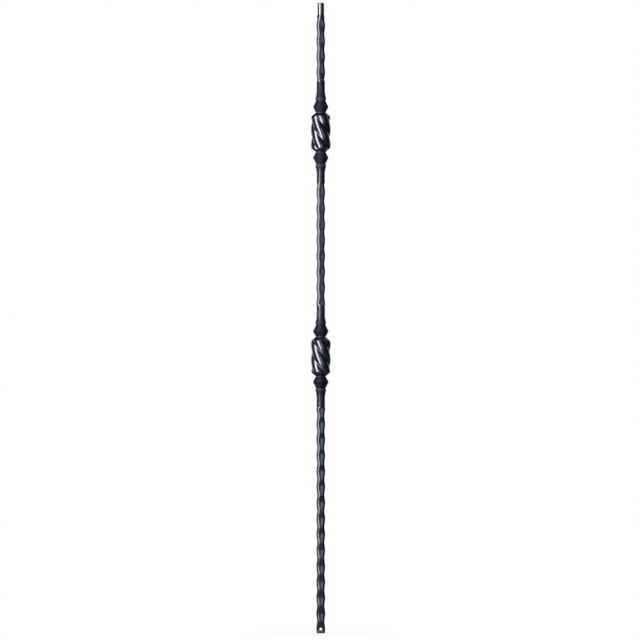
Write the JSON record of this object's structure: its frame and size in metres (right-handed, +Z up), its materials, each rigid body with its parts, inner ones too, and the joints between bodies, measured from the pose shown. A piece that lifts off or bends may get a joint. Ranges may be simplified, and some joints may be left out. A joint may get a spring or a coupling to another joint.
{
  "type": "stair baluster",
  "caption": "Upright iron stair baluster of hammered bar with twisted knuckles between beads, a turned dowel on top and a cross-drilled foot.",
  "frame": {"origin": "centre of the foot's lower end face, where the baluster stands on the tread", "axes": "+Z up along the baluster's axis to the handrail dowel, -Y the front seen in the picture, +X to its right"},
  "size_m": [0.0342, 0.0342, 1.1176],
  "materials": {
    "coated_iron": "satin blue-black powder coat over hammered iron"
  },
  "bodies": {
    "root": {"baluster": "coated_iron"}
  },
  "joints": []
}
